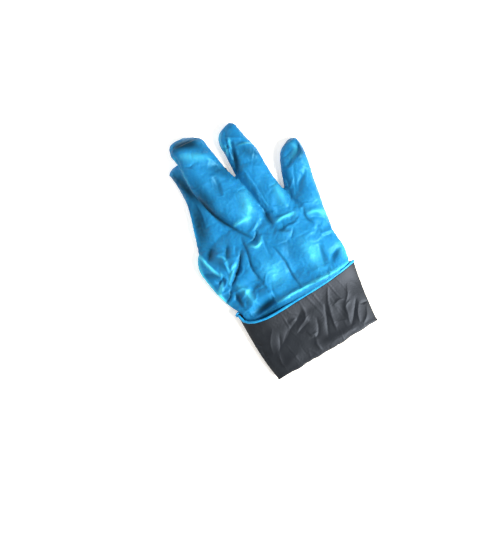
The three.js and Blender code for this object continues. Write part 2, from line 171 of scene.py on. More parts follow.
def metres(points):
    """Points in the glove's own millimetres, in metres in the frame of the solids."""
    low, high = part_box("turned_cuff")
    mouth = np.array([(low.x + high.x) / 2 + MOUTH_ASIDE * MM, low.y + MOUTH_AHEAD * MM, 0.0])
    return np.asarray(points, float) * MM + mouth


def on_table(pixel):
    """The place on the table, in the glove's millimetres, of a pixel of the picture."""
    across = (pixel[0] - MOUTH_PIXEL[0]) * PICTURE["mm_per_pixel"]
    down = (pixel[1] - MOUTH_PIXEL[1]) * PICTURE["mm_per_pixel"]
    cos, sin = math.cos(TURN), math.sin(TURN)
    return np.array([cos * across - sin * down, -sin * across - cos * down])


def smooth(low, high, value):
    t = np.clip((value - low) / (high - low), 0, 1)
    return t * t * (3 - 2 * t)


def curve_through(keys, values, at):
    """Smooth curve through the values at rising keys, read at many places."""
    keys = np.asarray(keys, float)
    values = np.asarray(values, float)
    at = np.clip(np.asarray(at, float), keys[0], keys[-1])
    slope = np.gradient(values, keys, axis=0)
    i = np.clip(np.searchsorted(keys, at, side="right") - 1, 0, len(keys) - 2)
    span = keys[i + 1] - keys[i]
    t = (at - keys[i]) / span
    if values.ndim > 1:
        t = t[..., None]
        span = span[..., None]
    t2, t3 = t * t, t * t * t
    start = values[i] * (2 * t3 - 3 * t2 + 1) + slope[i] * span * (t3 - 2 * t2 + t)
    return start + values[i + 1] * (3 * t2 - 2 * t3) + slope[i + 1] * span * (t3 - t2)


def noise(x, y, size, seed):
    """Smooth noise from -1 to 1, with features of about `size` millimetres."""
    grid = np.random.default_rng(SEED + seed).uniform(-1, 1, (64, 64))
    u, v = x / size + 31.7, y / size + 17.3
    i, j = np.floor(u).astype(int), np.floor(v).astype(int)
    fu, fv = u - i, v - j
    fu, fv = fu * fu * (3 - 2 * fu), fv * fv * (3 - 2 * fv)
    low = grid[i % 64, j % 64] * (1 - fu) + grid[(i + 1) % 64, j % 64] * fu
    high = grid[i % 64, (j + 1) % 64] * (1 - fu) + grid[(i + 1) % 64, (j + 1) % 64] * fu
    return low * (1 - fv) + high * fv


def crinkle(x, y, size, seed):
    """Wandering sharp ridges, 0 to 1, as slack film has."""
    warp_x = x + 0.5 * size * noise(x, y, size * 1.7, seed + 1)
    warp_y = y + 0.5 * size * noise(x, y, size * 1.7, seed + 2)
    ridge = 1 - np.abs(noise(warp_x, warp_y, size, seed))
    return ridge ** 3


def quads(loops, count, joined=False):
    """Faces between neighbouring loops of `count` points each. joined ties the last loop to the first."""
    faces = []
    for j in range(loops if joined else loops - 1):
        n = (j + 1) % loops
        for i in range(count):
            k = (i + 1) % count
            faces.append((j * count + i, j * count + k, n * count + k, n * count + i))
    return faces


def tube(loops):
    """Vertices and faces of a closed tube through equal loops of points, with flat ends."""
    rows, count = len(loops), len(loops[0])
    points = np.concatenate(loops)
    faces = quads(rows, count)
    for first, turned in ((0, True), ((rows - 1) * count, False)):
        middle = len(points)
        points = np.vstack([points, points[first:first + count].mean(0)])
        for i in range(count):
            a, b = first + i, first + (i + 1) % count
            faces.append((b, a, middle) if turned else (a, b, middle))
    return points, faces


def mesh_object(name, points, faces):
    mesh = bpy.data.meshes.new(name)
    mesh.from_pydata(metres(points).tolist(), [], faces)
    mesh.update()
    made = bpy.data.objects.new(name, mesh)
    bpy.context.scene.collection.objects.link(made)
    return made


def apply_modifiers(made):
    bpy.context.view_layer.update()
    ready = made.evaluated_get(bpy.context.evaluated_depsgraph_get())
    mesh = bpy.data.meshes.new_from_object(ready)
    made.modifiers.clear()
    old = made.data
    made.data = mesh
    bpy.data.meshes.remove(old)


def top_profile(t):
    """Height of the upper film across a flattened tube: broad and flat, with a round shoulder."""
    squareness, fullness = 3.4, 0.62
    return (1 - np.abs(t) ** squareness) ** fullness


def bottom_profile(t):
    """Height of the lower film across it: flat on the table, curling up to the crease at each side."""
    flat_share = 0.6
    return np.clip((np.abs(t) - flat_share) / (1 - flat_share), 0, 1) ** 2


def shares_across(count):
    return -np.cos(np.pi * np.arange(count + 1) / count)


def flattened_loops(edges_at, crown_at, rest_at, stations, across=60, floor_at=None):
    """Loops of a flattened tube: its top from left to right, then its underside back."""
    t_top = shares_across(across)
    t_low = shares_across(across)[1:-1][::-1]
    loops = []
    for s in stations:
        left, right = edges_at(s)
        crown, (rest_left, rest_right) = crown_at(s), rest_at(s)
        crease = CREASE_SHARE * crown
        top = [left + (right - left) * (t + 1) / 2 for t in t_top]
        low = [left + (right - left) * (t + 1) / 2 for t in t_low]
        top_z = crease + (crown - crease) * top_profile(t_top)
        low_z = crease * bottom_profile(t_low)
        if floor_at is not None:
            places = np.array(low)
            low_z = np.maximum(low_z, floor_at(places[:, 0], places[:, 1]))
        top_z = top_z + rest_left + (rest_right - rest_left) * (t_top + 1) / 2
        low_z = low_z + rest_left + (rest_right - rest_left) * (t_low + 1) / 2
        loops.append(np.vstack([np.column_stack([top, top_z]), np.column_stack([low, low_z])]))
    return loops


def column(rows, key):
    return [row[key] for row in rows]


def digit_edges(digit):
    left, right = np.array(digit["left"], float), np.array(digit["right"], float)
    steps = np.linalg.norm(np.diff((left + right) / 2, axis=0), axis=1)
    keys = np.concatenate([[0], np.cumsum(steps)])
    keys = keys / keys[-1]
    return lambda s: (curve_through(keys, left, s), curve_through(keys, right, s))


def thumb_room(x, y):
    """Height under the palm that the tucked thumb takes at each place."""
    edges = digit_edges(THUMB)
    shares = np.clip((x - THUMB["start"]) / THUMB["reach"], 0, 1)
    left, right = edges(shares)
    half = (right[:, 1] - left[:, 1]) / 2
    t = np.abs(y - (right[:, 1] + left[:, 1]) / 2) / np.maximum(half, 1)
    from_start = x - THUMB["start"]
    inside = smooth(3, 8, from_start) * (1 - smooth(THUMB["reach"], THUMB["reach"] + 6, from_start))
    return (THUMB_HEIGHT + THUMB_CLEARANCE) * (1 - smooth(1.0, 1.35, t)) * inside


def wrist_rest(y):
    """Height of the wrist's underside: raised on the turned cuff, and down on the table beyond it."""
    return (1 - smooth(56, 66, y)) * (1.6 + 1.2 * smooth(38, 52, y))


def palm_body():
    keys = column(PALM, "y")

    def edges(y):
        left, right = (float(curve_through(keys, column(PALM, side), y)) for side in ("left", "right"))
        slant = MOUTH_SLANT * (1 - float(smooth(0, SLANT_END, y)))
        return np.array([left, y + slant * left]), np.array([right, y + slant * right])

    def crown(y):
        under_cuff = 1 - float(smooth(38, 50, y))
        return float(curve_through(keys, column(PALM, "crown"), y)) - CUFF_ROOM * under_cuff

    def rest(y):
        height = float(wrist_rest(y))
        return height, height

    stations = np.linspace(0.35, 118, 150)
    return tube(flattened_loops(edges, crown, rest, stations, across=150, floor_at=thumb_room))


def digit_body(digit):
    edges = digit_edges(digit)
    share, height = zip(*DIGIT_HEIGHTS)

    def crown(s):
        return digit["crown"] * float(curve_through(share, height, s))

    def rest(s):
        free = float(smooth(0.15, 0.5, s))
        return digit["left_rest"] * free, digit["right_rest"] * free

    stations = 1 - (1 - np.linspace(0, 1, 130)) ** 1.35
    return tube(flattened_loops(edges, crown, rest, stations, across=44))


def thumb_body():
    edges = digit_edges(THUMB)
    share, rise = zip(*THUMB_HEIGHTS)

    def crown(s):
        return THUMB_HEIGHT * float(curve_through(share, rise, s))

    return tube(flattened_loops(edges, crown, lambda s: (0, 0), np.linspace(0, 1, 60), across=30))


def footprint(name, x, y, soft=1.2):
    """1 inside a digit's outline, 0 outside it."""
    edges = digit_edges(DIGITS[name])
    shares = np.linspace(0, 1, 80)
    left, right = edges(shares)
    middle = (left + right) / 2
    away = (x[:, None] - middle[None, :, 0]) ** 2 + (y[:, None] - middle[None, :, 1]) ** 2
    nearest = np.argmin(away, axis=1)
    across = right[nearest] - left[nearest]
    half = np.linalg.norm(across, axis=1) / 2
    unit = across / (2 * half[:, None])
    offset = (x - middle[nearest, 0]) * unit[:, 0] + (y - middle[nearest, 1]) * unit[:, 1]
    return 1 - smooth(half - soft, half, np.abs(offset))


# A fold of the film as the picture shows it: the part that it is on, its form, its rise and breadth in
# millimetres, and the pixels of the picture that it runs through. A line is a sharp ridge or groove, a
# swell is soft, and a lap drops sharply on the right side of its path and dies away on the left.
Fold = namedtuple("Fold", "on form rise breadth pixels")

FOLDS = [
    # Long creases down the palm from the finger crotches.
    Fold("palm", "line", -1.3, 1.3, [(241, 238), (247, 252), (252, 268), (262, 282), (268, 292)]),
    Fold("palm", "line", -1.3, 1.2, [(273, 247), (284, 261), (292, 275), (301, 288)]),
    Fold("palm", "line", -0.8, 1.1, [(262, 236), (266, 248), (270, 258)]),
    Fold("palm", "line", -0.7, 1.1, [(271, 283), (273, 293), (276, 299)]),
    Fold("palm", "swell", 1.0, 6, [(252, 250), (262, 270), (275, 290)]),
    Fold("palm", "swell", -0.9, 4, [(284, 245), (292, 262), (302, 280)]),
    Fold("palm", "swell", -1.1, 3, [(255, 282), (258, 292)]),
    # Crotch of index and middle finger.
    Fold("palm", "line", -0.9, 1.0, [(198, 198), (212, 214), (232, 228), (244, 234), (257, 241)]),
    Fold("palm", "line", 1.4, 1.5, [(232, 228), (240, 223), (247, 219)]),
    Fold("palm", "line", 1.4, 1.2, [(250, 246), (255, 247), (260, 243), (261, 236)]),
    Fold("palm", "line", -1.6, 1.1, [(249, 243), (254, 240), (256, 234)]),
    Fold("palm", "line", -1.4, 0.9, [(256, 232), (257, 240)]),
    Fold("palm", "line", 1.1, 1.3, [(250, 232), (255, 226), (257, 221)]),
    # Crotch of middle and ring finger.
    Fold("palm", "line", -2.2, 1.8, [(262, 208), (266, 214), (272, 224)]),
    Fold("palm", "line", -1.2, 1.4, [(266, 211), (267, 217)]),
    Fold("palm", "lap", 1.5, 3.2, [(298, 216), (294, 223), (287, 226), (281, 231), (274, 229)]),
    Fold("palm", "line", 1.1, 2, [(274, 224), (283, 217), (293, 212)]),
    Fold("palm", "line", -0.8, 1.0, [(281, 222), (284, 229)]),
    Fold("palm", "line", -0.8, 1.2, [(289, 216), (291, 221)]),
    Fold("palm", "line", -1.1, 1.2, [(293, 230), (290, 240)]),
    # Crotch and root of the little finger.
    Fold("palm", "line", -0.9, 0.9, [(300, 213), (306, 218), (312, 223)]),
    Fold("palm", "line", 1.4, 1.6, [(306, 214), (312, 211), (320, 212), (328, 215)]),
    Fold("palm", "line", -0.8, 1.5, [(308, 218), (318, 217), (328, 220)]),
    Fold("palm", "line", 1.5, 1.5, [(321, 234), (328, 231), (335, 228)]),
    Fold("palm", "line", -0.9, 1.2, [(322, 237), (330, 234)]),
    Fold("palm", "line", 1.2, 1.1, [(313, 223), (316, 228), (321, 226)]),
    Fold("palm", "line", -1.2, 0.9, [(315, 226), (319, 230)]),
    Fold("palm", "swell", 1.6, 6, [(300, 236), (308, 252), (316, 272)]),
    Fold("palm", "swell", -1.9, 2.8, [(317, 244), (321, 256), (326, 265)]),
    Fold("palm", "swell", -1.9, 2.6, [(339, 246), (333, 254), (330, 263)]),
    # Gathers of the film over the tucked thumb.
    Fold("palm", "line", 1.2, 1.5, [(198, 256), (199, 268), (206, 282), (214, 292)]),
    Fold("palm", "line", 1.9, 1.6, [(199, 255), (207, 265), (215, 272), (220, 277)]),
    Fold("palm", "line", 1.1, 1.2, [(199, 268), (206, 270), (214, 272)]),
    Fold("palm", "line", -1.4, 2.0, [(203, 274), (212, 275), (218, 278)]),
    Fold("palm", "line", -3.0, 1.5, [(224, 277), (219, 285)]),
    Fold("palm", "line", -3.8, 1.7, [(241, 250), (240, 258), (239, 266), (236, 275), (232, 286)]),
    Fold("palm", "line", 2.0, 1.2, [(237, 261), (232, 266), (231, 270)]),
    Fold("palm", "line", 1.7, 1.0, [(238, 267), (233, 273), (231, 280), (229, 285)]),
    Fold("palm", "line", -2.2, 1.8, [(227, 246), (227, 258)]),
    Fold("palm", "line", -2.6, 2.4, [(212, 249), (209, 261)]),
    Fold("palm", "line", -1.4, 1.3, [(235, 246), (236, 256)]),
    Fold("palm", "line", 1.2, 1.6, [(215, 258), (219, 254), (225, 253)]),
    Fold("palm", "line", 1.0, 1.3, [(207, 252), (201, 255)]),
    Fold("palm", "line", 1.2, 1.3, [(222, 257), (225, 265), (229, 272)]),
    Fold("palm", "line", 1.3, 1.1, [(221, 274), (222, 284)]),
    Fold("palm", "line", -2.3, 1.3, [(231, 289), (230, 298), (226, 304)]),
    Fold("palm", "line", -2.8, 1.5, [(236, 292), (238, 300), (242, 306)]),
    Fold("palm", "line", 1.4, 1.2, [(219, 295), (225, 293), (231, 289)]),
    Fold("palm", "line", 1.3, 1.0, [(222, 285), (222, 291), (219, 295)]),
    Fold("palm", "line", 1.7, 1.3, [(244, 311), (249, 309), (254, 305)]),
    Fold("palm", "line", 1.5, 2.2, [(236, 284), (243, 290), (252, 301)]),
    Fold("palm", "line", 1.3, 1.5, [(213, 291), (220, 298), (229, 306)]),
    Fold("palm", "line", -1.3, 1.5, [(247, 300), (246, 306)]),
    # The film stands up in a strip beyond the rim, with a pocket at its left end.
    Fold("palm", "line", 3.0, 2.2, [(253, 320), (262, 314), (272, 306), (282, 300), (292, 293),
          (300, 289), (320, 279), (336, 270), (352, 259)]),
    Fold("palm", "swell", -5.0, 4.5, [(252, 315), (264, 307), (276, 301)]),
    Fold("palm", "swell", 3.2, 4.2, [(262, 316), (275, 309), (291, 300), (311, 289), (335, 274)]),
    # Middle finger.
    Fold("middle", "swell", -1.0, 2.4, [(171, 147), (182, 142), (196, 138)]),
    Fold("middle", "lap", 1.1, 4, [(200, 139), (191, 143), (180, 148), (168, 154)]),
    Fold("middle", "line", 1.6, 1.5, [(171, 156), (180, 172), (190, 188), (198, 199)]),
    Fold("middle", "line", 1.0, 1.4, [(186, 170), (193, 171), (202, 175)]),
    Fold("middle", "line", -1.4, 1.1, [(183, 168), (189, 169), (195, 165)]),
    Fold("middle", "swell", -2.0, 4, [(208, 166), (220, 170), (232, 176)]),
    Fold("middle", "swell", -1.7, 2.2, [(215, 180), (219, 190), (221, 197)]),
    Fold("middle", "swell", 1.7, 4, [(243, 190), (247, 204), (246, 218)]),
    Fold("middle", "swell", 1.3, 3, [(192, 157), (204, 157), (212, 161)]),
    Fold("middle", "line", -1.0, 1.2, [(172, 154), (177, 161), (182, 170)]),
    # Ring finger.
    Fold("ring", "line", 1.2, 1.3, [(227, 139), (233, 139), (241, 139)]),
    Fold("ring", "line", -1.3, 0.9, [(225, 130), (226, 138)]),
    Fold("ring", "line", -2.0, 1.2, [(229, 141), (228, 147), (226, 152)]),
    Fold("ring", "line", 1.5, 0.9, [(228, 139), (229, 150), (232, 160)]),
    Fold("ring", "line", 1.2, 1.0, [(233, 140), (236, 150), (238, 160)]),
    Fold("ring", "line", -2.8, 1.9, [(232, 142), (233, 152), (236, 165), (237, 175)]),
    Fold("ring", "lap", 2.2, 8, [(256, 145), (246, 144), (236, 147)]),
    Fold("ring", "line", 1.2, 0.9, [(224, 147), (228, 150), (227, 155)]),
    Fold("ring", "line", -0.9, 1.4, [(245, 170), (256, 186), (268, 205)]),
    Fold("ring", "swell", 1.2, 2.4, [(243, 170), (252, 186), (262, 204)]),
    Fold("ring", "swell", -1.6, 4, [(243, 155), (250, 160), (262, 162)]),
    Fold("ring", "swell", 1.4, 3.4, [(274, 185), (281, 197), (284, 208)]),
    # Little finger.
    Fold("little", "lap", 2.6, 7, [(291, 136), (298, 144), (299, 152), (294, 160), (288, 168),
          (282, 171)]),
    Fold("little", "line", 0.9, 1.3, [(284, 146), (289, 144), (294, 148)]),
    Fold("little", "line", -1.0, 1.3, [(283, 159), (288, 155), (292, 150)]),
    Fold("little", "line", -1.1, 1.6, [(283, 172), (288, 184), (291, 198)]),
    Fold("little", "line", -0.9, 1.8, [(293, 164), (294, 180), (296, 198)]),
    Fold("little", "line", 0.8, 1.0, [(293, 178), (289, 190)]),
    Fold("little", "swell", -1.0, 2.2, [(305, 168), (300, 182), (298, 194)]),
    Fold("little", "line", 0.9, 1.4, [(299, 210), (303, 205), (310, 203)]),
    # Index finger, half hidden.
    Fold("index", "line", 1.6, 2.0, [(185, 203), (189, 214), (193, 228), (198, 247)]),
    Fold("index", "swell", -2.6, 4.5, [(192, 197), (198, 212), (203, 230), (205, 243)]),
    Fold("index", "line", 0.7, 1.0, [(196, 203), (202, 214), (206, 226)]),
]

# Wrinkles of the turned cuff.
CUFF_FOLDS = [
    Fold("cuff", "line", 0.8, 0.9, [(327, 287), (327, 298), (329, 310), (334, 325)]),
    Fold("cuff", "line", -1.1, 1.0, [(324, 303), (326, 318), (328, 336)]),
    Fold("cuff", "line", 0.7, 0.9, [(329, 305), (332, 318), (337, 331)]),
    Fold("cuff", "line", -1.1, 1.2, [(316, 318), (318, 328), (316, 336), (311, 338)]),
    Fold("cuff", "line", 1.0, 1.0, [(307, 331), (312, 334), (317, 331)]),
    Fold("cuff", "line", 1.1, 1.7, [(303, 308), (305, 318), (300, 326), (297, 332)]),
    Fold("cuff", "line", -1.1, 1.7, [(300, 311), (296, 320), (289, 330), (284, 341), (280, 350)]),
    Fold("cuff", "line", 0.9, 1.2, [(289, 323), (296, 318)]),
    Fold("cuff", "line", -1.0, 1.0, [(297, 333), (303, 326), (308, 322)]),
    Fold("cuff", "line", -1.4, 1.0, [(355, 299), (354, 308), (352, 320), (351, 324)]),
    Fold("cuff", "line", 1.0, 1.0, [(349, 300), (345, 306), (347, 313), (349, 321)]),
    Fold("cuff", "line", 0.7, 0.9, [(346, 285), (347, 293), (344, 305)]),
    Fold("cuff", "line", 1.1, 1.1, [(358, 302), (357, 312), (359, 321)]),
    Fold("cuff", "line", 1.0, 1.0, [(366, 306), (366, 316), (363, 323)]),
    Fold("cuff", "line", -1.0, 0.8, [(361, 303), (366, 301)]),
    Fold("cuff", "line", 0.9, 0.8, [(334, 304), (338, 300), (342, 299)]),
    Fold("cuff", "swell", -0.9, 4, [(340, 304), (342, 320)]),
    Fold("cuff", "swell", 1.3, 3.4, [(318, 346), (335, 338), (357, 325)]),
    Fold("cuff", "line", 1.0, 1.3, [(315, 335), (317, 344), (321, 349)]),
    Fold("cuff", "line", -1.0, 1.6, [(279, 334), (280, 345), (279, 356)]),
    Fold("cuff", "line", 0.8, 1.5, [(284, 344), (279, 353), (282, 364)]),
    Fold("cuff", "line", 0.7, 1.5, [(272, 329), (270, 342), (273, 354)]),
    Fold("cuff", "line", -1.4, 1.2, [(254, 343), (262, 346)]),
    Fold("cuff", "line", -1.3, 1.2, [(262, 350), (267, 358)]),
    Fold("cuff", "swell", 0.9, 4, [(303, 350), (292, 358), (284, 368)]),
    Fold("cuff", "swell", -1.0, 4, [(262, 332), (290, 318), (320, 300)]),
]


def painted_light_stroke(on, amount, breadth, pixels):
    """A soft stroke of painted shade (below 0) or painted highlight (above 0) on the film."""
    return Fold(on, "swell", amount, breadth, pixels)


# Strokes of painted shade in creases, pockets and under overlapping fingers, and of painted highlight along
# lit ridges and edges.
PAINTED_SHADE_AND_HIGHLIGHT = [
    painted_light_stroke("middle", -1.1, 3.8, [(170, 152), (182, 147), (199, 142)]),
    painted_light_stroke("middle", 0.7, 1.8, [(172, 143), (180, 138), (190, 136)]),
    painted_light_stroke("middle", -0.45, 3.0, [(186, 151), (198, 148), (207, 151)]),
    painted_light_stroke("middle", -0.6, 6.0, [(208, 166), (220, 170), (232, 175)]),
    painted_light_stroke("middle", -0.5, 3.0, [(214, 178), (219, 196)]),
    painted_light_stroke("middle", -0.6, 6.5, [(200, 190), (214, 214), (228, 228)]),
    painted_light_stroke("middle", -0.4, 4.0, [(193, 178), (200, 192), (210, 205)]),
    painted_light_stroke("middle", 0.4, 3.5, [(178, 157), (195, 158), (211, 160)]),
    painted_light_stroke("middle", 0.35, 4.5, [(243, 190), (247, 204), (246, 220)]),
    painted_light_stroke("middle", 0.5, 1.5, [(170, 155), (180, 172), (192, 191)]),
    painted_light_stroke("index", -1.0, 5.5, [(191, 200), (197, 215), (201, 235), (204, 250)]),
    painted_light_stroke("index", -1.0, 3.6, [(170, 174), (180, 182), (190, 194), (199, 202)]),
    painted_light_stroke("index", 1.0, 1.7, [(184, 203), (189, 215), (193, 230), (198, 248)]),
    painted_light_stroke("ring", -0.6, 4.5, [(240, 150), (250, 153), (259, 159)]),
    painted_light_stroke("ring", -0.9, 2.8, [(232, 148), (236, 162), (238, 176)]),
    painted_light_stroke("ring", -0.35, 2.0, [(246, 176), (256, 192), (266, 208)]),
    painted_light_stroke("ring", 0.3, 3.6, [(274, 182), (280, 196), (283, 206)]),
    painted_light_stroke("ring", 0.8, 0.8, [(229, 139), (230, 146), (233, 151)]),
    painted_light_stroke("ring", 0.8, 0.8, [(225, 146), (227, 152), (228, 157)]),
    painted_light_stroke("ring", -0.8, 0.9, [(226, 139), (228, 149)]),
    painted_light_stroke("ring", 0.6, 1.3, [(219, 131), (219, 141), (224, 153)]),
    painted_light_stroke("ring", 0.5, 1.0, [(237, 147), (247, 144), (256, 145)]),
    painted_light_stroke("little", -0.7, 2.6, [(300, 145), (301, 153), (297, 161)]),
    painted_light_stroke("little", -0.6, 1.6, [(281, 147), (291, 138)]),
    painted_light_stroke("little", 0.4, 2.0, [(290, 143), (296, 149), (290, 161)]),
    painted_light_stroke("little", -0.35, 3.0, [(287, 176), (290, 190), (292, 202)]),
    painted_light_stroke("palm", -1.0, 4.2, [(256, 314), (266, 307), (278, 300)]),
    painted_light_stroke("palm", -0.55, 3.0, [(262, 317), (285, 305), (310, 291), (340, 273)]),
    painted_light_stroke("palm", -0.75, 0.9, [(241, 238), (247, 252), (252, 268), (268, 292)]),
    painted_light_stroke("palm", -0.75, 0.9, [(273, 247), (284, 261), (292, 275), (301, 288)]),
    painted_light_stroke("palm", -0.8, 1.1, [(198, 198), (212, 214), (232, 228), (257, 241)]),
    painted_light_stroke("palm", -0.7, 1.0, [(303, 205), (306, 218), (312, 223)]),
    painted_light_stroke("palm", 0.8, 1.1, [(255, 319), (272, 306), (300, 289), (330, 273), (352, 259)]),
    painted_light_stroke("palm", -0.35, 6.0, [(207, 252), (221, 262), (232, 268)]),
    painted_light_stroke("palm", -0.6, 2.2, [(212, 248), (209, 262)]),
    painted_light_stroke("palm", -0.6, 1.8, [(227, 247), (227, 259)]),
    painted_light_stroke("palm", -0.8, 1.6, [(241, 251), (239, 266), (233, 285)]),
    painted_light_stroke("palm", -0.6, 2.0, [(203, 274), (218, 278)]),
    painted_light_stroke("palm", -0.9, 1.5, [(223, 277), (219, 285)]),
    painted_light_stroke("palm", -0.7, 1.3, [(231, 290), (227, 303)]),
    painted_light_stroke("palm", -0.8, 1.6, [(237, 293), (243, 308)]),
    painted_light_stroke("palm", 1.0, 1.6, [(198, 256), (199, 268), (206, 282), (214, 292), (230, 307)]),
    painted_light_stroke("palm", 1.0, 1.3, [(199, 255), (209, 267), (219, 276)]),
    painted_light_stroke("palm", 0.7, 1.2, [(221, 272), (222, 284), (220, 295), (229, 303)]),
    painted_light_stroke("palm", 0.7, 1.2, [(215, 256), (224, 258), (229, 272)]),
    painted_light_stroke("palm", 0.7, 1.1, [(238, 262), (233, 270), (229, 284)]),
    painted_light_stroke("palm", 0.7, 1.3, [(232, 228), (241, 222), (250, 218)]),
    painted_light_stroke("palm", 0.7, 1.2, [(250, 246), (257, 247), (261, 238)]),
    painted_light_stroke("palm", 0.6, 1.4, [(306, 214), (316, 211), (328, 214)]),
    painted_light_stroke("palm", 0.6, 1.3, [(274, 223), (284, 217), (296, 213)]),
    painted_light_stroke("palm", 0.35, 3.0, [(237, 286), (246, 292), (255, 303)]),
    painted_light_stroke("palm", -0.35, 5.0, [(276, 238), (286, 245), (293, 260)]),
    painted_light_stroke("palm", -0.7, 1.6, [(277, 231), (291, 231)]),
    painted_light_stroke("palm", -0.35, 3.0, [(256, 283), (259, 293)]),
    painted_light_stroke("palm", 0.2, 6.0, [(300, 238), (310, 250), (322, 271)]),
    painted_light_stroke("palm", 0.4, 4.0, [(340, 244), (347, 256)]),
    painted_light_stroke("palm", 0.25, 7.0, [(268, 262), (282, 284)]),
    painted_light_stroke("palm", -0.8, 2.4, [(263, 209), (272, 226)]),
]


def fold_height(fold, x, y):
    """What one fold adds to the height of the film at many places."""
    path = np.array([on_table(pixel) for pixel in fold.pixels])
    steps = np.linalg.norm(np.diff(path, axis=0), axis=1)
    keys = np.concatenate([[0], np.cumsum(steps)])
    path = curve_through(keys, path, np.linspace(0, keys[-1], 4 * len(steps) + 1))
    nearest = np.full(x.shape, 1e9)
    side = np.zeros_like(x)
    share = np.zeros_like(x)
    for k, (a, b) in enumerate(zip(path[:-1], path[1:])):
        along = b - a
        t = np.clip(((x - a[0]) * along[0] + (y - a[1]) * along[1]) / (along @ along), 0, 1)
        dx, dy = x - a[0] - t * along[0], y - a[1] - t * along[1]
        away = np.hypot(dx, dy)
        closer = away < nearest
        nearest = np.where(closer, away, nearest)
        side = np.where(closer, np.sign(along[0] * dy - along[1] * dx), side)
        share = np.where(closer, (k + t) / (len(path) - 1), share)
    taper = 0.25 + 0.75 * np.sin(np.pi * share) ** 0.8
    breadth = fold.breadth
    if fold.form == "line":
        shape = np.exp(-(np.sqrt(nearest ** 2 + 0.1) - 0.32) / breadth)
    elif fold.form == "swell":
        shape = np.exp(-(nearest / breadth) ** 2)
    else:
        away = side * nearest
        shape = (0.5 + 0.5 * np.tanh(away / 0.5)) * np.exp(-np.maximum(away, 0) / breadth)
        shape *= smooth(0, 0.12, share) * smooth(0, 0.12, 1 - share)
    return fold.rise * taper * shape


def glove_film():
    """The hand: palm, four fingers and the tucked thumb as one film."""
    bodies = [palm_body(), thumb_body()] + [digit_body(digit) for digit in DIGITS.values()]
    points, faces = [], []
    for body_points, body_faces in bodies:
        first = sum(len(p) for p in points)
        points.append(body_points)
        faces += [tuple(first + i for i in face) for face in body_faces]
    made = mesh_object("hand_film", np.concatenate(points), faces)
    remesh = made.modifiers.new("one film", "REMESH")
    remesh.mode = "VOXEL"
    remesh.voxel_size = FILM_GRAIN * MM
    relax = made.modifiers.new("relax", "SMOOTH")
    relax.factor = 0.5
    relax.iterations = 8
    apply_modifiers(made)
    return made


def read_points(made):
    co = np.empty(len(made.data.vertices) * 3)
    made.data.vertices.foreach_get("co", co)
    return (co.reshape(-1, 3) - metres([(0, 0, 0)])) / MM


def write_points(made, points):
    made.data.vertices.foreach_set("co", metres(points).ravel())
    made.data.update()


def upper_parts(x, y):
    """How much each place belongs to each part of the glove, seen from above."""
    covers = {name: footprint(name, x, y) for name in DIGITS}
    return {
        "palm": np.ones_like(x),
        "middle": covers["middle"] * smooth(100, 112, y),
        "ring": covers["ring"] * (1 - covers["middle"]) * smooth(104, 114, y),
        "little": covers["little"] * (1 - covers["ring"]),
        "index": covers["index"] * (1 - covers["middle"]),
    }


def upward(made):
    """How much each point of the film faces up."""
    normals = np.empty(len(made.data.vertices) * 3)
    made.data.vertex_normals.foreach_get("vector", normals)
    return normals.reshape(-1, 3)[:, 2]


def lowest_top(made):
    """How low each point of the upper film may go and still lie clear above the film below it."""
    points = read_points(made)
    film = BVHTree.FromObject(made, bpy.context.evaluated_depsgraph_get())
    down = Vector((0, 0, -1))
    lowest = points[:, 2].copy()
    for i in np.flatnonzero(upward(made) > 0):
        below = film.ray_cast(made.data.vertices[i].co + down * FILM_WALL * MM, down)[0]
        if below is not None:
            lowest[i] = min(lowest[i], below.z / MM + FILM_APART)
    return lowest


def paint_shade_and_highlight(made):
    """Keeps on each point its painted shade (below 0) or painted highlight (above 0), for the finish to
    read.
    """
    points = read_points(made)
    x, y = points[:, 0], points[:, 1]
    masks = upper_parts(x, y)
    shade = np.zeros(len(points))
    for stroke in PAINTED_SHADE_AND_HIGHLIGHT:
        shade += fold_height(stroke, x, y) * masks[stroke.on]
    shade = np.clip(shade, -1, 1) * smooth(0.3, 1.6, points[:, 2])
    kept = made.data.attributes.new("shade", "FLOAT", "POINT")
    kept.data.foreach_set("value", shade)


def fold_film(made, lowest):
    """Presses the folds and wrinkles into the upper side of the film."""
    points = read_points(made)
    facing = upward(made)
    x, y = points[:, 0], points[:, 1]
    masks = upper_parts(x, y)
    rise = np.zeros_like(x)
    for fold in FOLDS:
        rise += fold_height(fold, x, y) * masks[fold.on]
    slack = 0.9 * noise(x, y, 16, 3) + 0.5 * noise(x, y, 8, 4)
    rise += slack * smooth(54, 60, y)
    tucked = near(x, y, THUMB_GATHERS, 14)
    rise += 1.2 * tucked * (crinkle(x, y, 7, 10) - 0.4)
    upper = smooth(0.05, 0.5, facing)
    folded = np.maximum(points[:, 2] + rise * upper, lowest)
    points[:, 2] = np.where(facing > 0, folded, points[:, 2])
    write_points(made, points)


